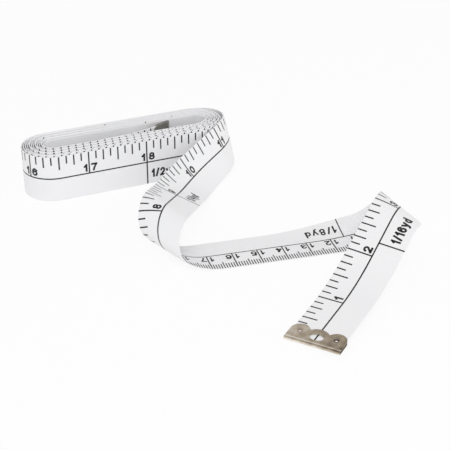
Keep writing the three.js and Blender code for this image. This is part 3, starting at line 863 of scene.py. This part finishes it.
def blank_edge(point):
    """Distance to the blank's outline, below 0 inside: plate and lobes, less the window and the two holes."""
    leaf, across = np.abs(point[..., 0]) - FOLD_LENGTH, np.abs(point[..., 1])
    lobe = np.hypot(leaf - SIDE_LOBE_REACH, across - SIDE_LOBE_OFFSET)
    middle = np.hypot(leaf - MIDDLE_LOBE_REACH, across) - MIDDLE_LOBE_RADIUS
    outline = np.maximum(leaf - SIDE_LOBE_REACH, across - CLIP_HALF_WIDTH)
    outline = np.minimum(np.minimum(outline, middle), lobe - SIDE_LOBE_RADIUS)
    window = np.hypot((leaf - WINDOW_REACH) / WINDOW_HALF_LENGTH, across / WINDOW_HALF_WIDTH)
    return np.maximum(np.maximum(outline, (1 - window) * WINDOW_HALF_LENGTH), PIERCING - lobe)


# %% Grid of the blank
BLANK_STEP, FOLD_STEP, FINE_MARGIN = 0.2, 0.06, 1.0
SNAP_ROUNDS, SNAP_STEP, LEAST_SLOPE = 4, 1e-3, 0.2


def blank_grid():
    """Points and quads of the blank: the cells of a grid whose middles are inside the outline, with the
    points on their border moved onto it, p - f grad f / |grad f|^2."""
    fine = FOLD_LENGTH + FINE_MARGIN
    flat = np.linspace(fine, BLANK_HALF_LENGTH, int((BLANK_HALF_LENGTH - fine) / BLANK_STEP) + 1)
    fold = np.linspace(-fine, fine, int(2 * fine / FOLD_STEP) + 1)
    along = np.concatenate([-flat[:0:-1], fold, flat[1:]])
    across = np.linspace(-CLIP_HALF_WIDTH, CLIP_HALF_WIDTH, int(2 * CLIP_HALF_WIDTH / BLANK_STEP) + 1)
    points = np.stack(np.meshgrid(along, across, indexing="ij"), -1).reshape(-1, 2)
    i, j = np.meshgrid(np.arange(len(along) - 1), np.arange(len(across) - 1), indexing="ij")
    corner = (i * len(across) + j).ravel()
    cells = np.stack([corner, corner + len(across), corner + len(across) + 1, corner + 1], -1)
    cells = cells[blank_edge(points[cells].mean(1)) < 0]
    uses = np.bincount(cells.ravel(), minlength=len(points))
    border = (uses > 0) & (uses < 4)
    step = SNAP_STEP * np.eye(2)
    for _ in range(SNAP_ROUNDS):
        near = points[border]
        rise = np.stack([blank_edge(near + d) - blank_edge(near - d) for d in step], -1)
        slope = rise / (2 * SNAP_STEP)
        length = np.clip((slope ** 2).sum(-1, keepdims=True), LEAST_SLOPE, None)
        points[border] = near - blank_edge(near)[:, None] * slope / length
    renumber = np.cumsum(uses > 0) - 1
    return points[uses > 0], renumber[cells]


blank_points, blank_faces = blank_grid()
print("faces of the blank:", len(blank_faces))


# %% Fold the blank
BEAD, BEAD_AT, BEAD_SPREAD, BEAD_START = 0.07, 0.3, 0.3, 0.2
GROOVE, GROOVE_SHARE, GROOVE_SPREAD = 0.15, 0.72, 0.12
DISH_RADIUS, DISH_DEPTH = 1.5, 0.3
RUB, RUB_SHARE, DISH_SHADE = 0.7, 0.45, 0.7


def pressing(points):
    """Heights that the press leaves: a bead along the fold, a groove before it and a dish at each hole."""
    along, across = np.abs(points[:, 0]), np.abs(points[:, 1])
    leaf = np.clip(along - FOLD_LENGTH, 0, None)
    bead = BEAD * np.exp(-((leaf - BEAD_AT) / BEAD_SPREAD) ** 2) * smooth_step(leaf / BEAD_START)
    groove = GROOVE * np.exp(-((along - GROOVE_SHARE * FOLD_LENGTH) / GROOVE_SPREAD) ** 2)
    lobe = np.hypot(leaf - SIDE_LOBE_REACH, across - SIDE_LOBE_OFFSET)
    dish = DISH_DEPTH * (1 - smooth_step((lobe - PIERCING) / (DISH_RADIUS - PIERCING)))
    return leaf, bead, groove, dish


def folded(points):
    """The middle of the sheet in the clip's frame: X into the tape, Y across, Z out of the inch face. On a
    leaf, X is the distance from the fold and Z the leaf's height. In the fold both go round a half circle."""
    leaf, bead, groove, dish = pressing(points)
    angle = np.clip(points[:, 0] / LEAF_HEIGHT, -math.pi / 2, math.pi / 2)
    radius = LEAF_HEIGHT - groove
    x = np.where(leaf > 0, leaf, -radius * np.cos(angle))
    z = np.where(leaf > 0, np.sign(points[:, 0]) * (LEAF_HEIGHT + bead - dish), radius * np.sin(angle))
    return np.stack([x, points[:, 1], z], -1)


# Tone attribute: the bead lighter as a painted highlight, the rubbed tip lighter as wear, the groove and
# dishes darker as tarnish and painted shade.
_, bead, groove, dish = pressing(blank_points)
rubbed = RUB * np.exp(-(blank_points[:, 0] / (RUB_SHARE * FOLD_LENGTH)) ** 2)
blank_wear_and_painted_light = np.clip(bead / BEAD + rubbed - groove / GROOVE - DISH_SHADE * dish / DISH_DEPTH, -1, 1)
print("relief from", blank_wear_and_painted_light.min(), "to", round(float(blank_wear_and_painted_light.max()), 2))

# %% Two clips
TANGENT_STEP = 0.05
SOFT_EDGE, SHARP_ANGLE = 0.06, 50
# The inner clip is painted darker, as painted shade for the coil's shaded hollow, and has grey mixed into its
# tone.
OPEN_CLIP_SHADE_AND_GREY, HOLLOW_CLIP_SHADE_AND_GREY = 0.0, 0.5


def clip_piece(name, station, into, shade_and_grey):
    """A folded blank set on an end of the tape, with its frame from the tape's own surface there. The last
    argument paints the clip darker, as painted shade, by lowering its tone attribute, and mixes grey into its
    tone."""
    end = tape_point(station, 0.0)
    along = unit(tape_point(station + into * TANGENT_STEP, 0.0) - end)
    out = unit(np.cross(along, tape_point(station, 1.0) - end))
    across = np.cross(out, along)
    shape = folded(blank_points)
    points = end + shape[:, :1] * along + shape[:, 1:2] * across + shape[:, 2:] * out
    piece = mesh_piece(name, points, [blank_faces], plate, uv=blank_points)
    tone_attributes = {"wear_and_painted_light": blank_wear_and_painted_light - shade_and_grey, "grey_share": np.full(len(blank_wear_and_painted_light), shade_and_grey)}
    for attribute, values in tone_attributes.items():
        layer = piece.data.attributes.new(attribute, "FLOAT", "POINT")
        layer.data.foreach_set("value", values.astype(np.float32))
    sheet = piece.modifiers.new("sheet", "SOLIDIFY")
    sheet.thickness, sheet.offset, sheet.use_even_offset = CLIP_SHEET * MM, 0.0, True
    soft = piece.modifiers.new("soft_edge", "BEVEL")
    soft.width, soft.segments = SOFT_EDGE * MM, 2
    soft.limit_method, soft.angle_limit = "ANGLE", math.radians(SHARP_ANGLE)
    return piece


end_clip = clip_piece("end_clip_plate", 0.0, 1, OPEN_CLIP_SHADE_AND_GREY)
inner_clip = clip_piece("inner_clip_plate", TAPE_LENGTH, -1, HOLLOW_CLIP_SHADE_AND_GREY)
for piece, body, node in ((end_clip, "free_end", "end_clip"), (inner_clip, "inner_end", "inner_clip")):
    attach(piece, body)
    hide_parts(node)
print("made", end_clip.name, "and", inner_clip.name)

# %% [markdown]
# ## Floor, light and camera
# The tape lies on a plain white table in soft light from all round, as in a light tent that is a little
# brighter at its sides than overhead. A lamp in front shades the folds, and a weak one at the side fills in
# their shadows. The camera sees the table mostly as plain white. A tenth of what it sees is lit paint, so
# that the object keeps a faint shadow. The camera's place and lens were worked out from the inch marks.

# %% Floor
PLAIN_SHARE = 0.9
FLOOR_HALF, FLOOR_DROP = 3000.0, 0.05
floor_white, floor_out = new_material("white_table")
table_paint = add_node(floor_white, "ShaderNodeBsdfDiffuse", {"Color": linear("#FAFAFA")})
plain_white = add_node(floor_white, "ShaderNodeEmission", {"Color": (1, 1, 1, 1), "Strength": 1.0})
ray = add_node(floor_white, "ShaderNodeLightPath").outputs
seen = ray["Is Camera Ray"]
for kind in ("Is Glossy Ray", "Is Transmission Ray"):
    seen = add_node(floor_white, "ShaderNodeMath", {0: seen, 1: ray[kind]}, operation="MAXIMUM").outputs[0]
mostly = add_node(floor_white, "ShaderNodeMath", {0: seen, 1: PLAIN_SHARE}, operation="MULTIPLY").outputs[0]
table_mix = add_node(floor_white, "ShaderNodeMixShader", {
    0: mostly, 1: table_paint.outputs[0], 2: plain_white.outputs[0]})
floor_white.node_tree.links.new(table_mix.outputs[0], floor_out.inputs["Surface"])
square = np.array([[-1, -1, 0], [1, -1, 0], [1, 1, 0], [-1, 1, 0]])
floor_corners = square * FLOOR_HALF - [0, 0, FLOOR_DROP]
floor = mesh_piece("floor", floor_corners, [[[0, 1, 2, 3]]], floor_white)
print("floor", 2 * FLOOR_HALF * MM, "m square")

# %% World and lamps
TENT_SIDES, TENT_TOP = 0.76, 0.62
LAMP_AIM, LAMP_SIZE = (0.0, 0.02, 0.0), 0.5
world = bpy.data.worlds.new("light_tent")
world.use_nodes = True
direction = add_node(world, "ShaderNodeTexCoord").outputs["Generated"]
upwards = add_node(world, "ShaderNodeSeparateXYZ", {"Vector": direction}).outputs["Z"]
level = add_node(world, "ShaderNodeMapRange", {"Value": upwards, "To Min": TENT_SIDES, "To Max": TENT_TOP})
tent = world.node_tree.nodes["Background"]
tent.inputs["Color"].default_value = (1, 1, 1, 1)
world.node_tree.links.new(level.outputs["Result"], tent.inputs["Strength"])
bpy.context.scene.world = world


def facing(place, aim):
    """Turn that points an object's -Z from its place to its aim."""
    way = np.array(aim) - np.array(place)
    return math.atan2(math.hypot(way[0], way[1]), -way[2]), 0, math.atan2(way[1], way[0]) - math.pi / 2


def softbox(name, place, watts):
    """A square area lamp at a place in metres, turned to face the tape."""
    lamp = bpy.data.lights.new(name, "AREA")
    lamp.size, lamp.energy = LAMP_SIZE, watts
    box = bpy.data.objects.new(name, lamp)
    box.location, box.rotation_euler = place, facing(place, LAMP_AIM)
    bpy.context.scene.collection.objects.link(box)


softbox("front_box", (-0.31, -0.66, 0.82), watts=3.1)
softbox("side_box", (0.75, -0.40, 0.40), watts=0.7)
print("lit by a tent and two softboxes")

# %% Camera
EYE = np.array([-162.0, -345.7, 223.7]) * MM
LOOK = np.array([-3.0, 23.6, 0.0]) * MM
LENS, SENSOR = 91.96, 36.0
camera_data = bpy.data.cameras.new("camera")
camera_data.lens, camera_data.sensor_width = LENS, SENSOR
camera = bpy.data.objects.new("camera", camera_data)
camera.location, camera.rotation_euler = EYE, facing(EYE, LOOK)
bpy.context.scene.collection.objects.link(camera)
bpy.context.scene.camera = camera
bpy.context.scene.view_settings.view_transform = "Standard"
print("camera", round(float(np.linalg.norm(EYE - LOOK)), 3), "m from the tape")
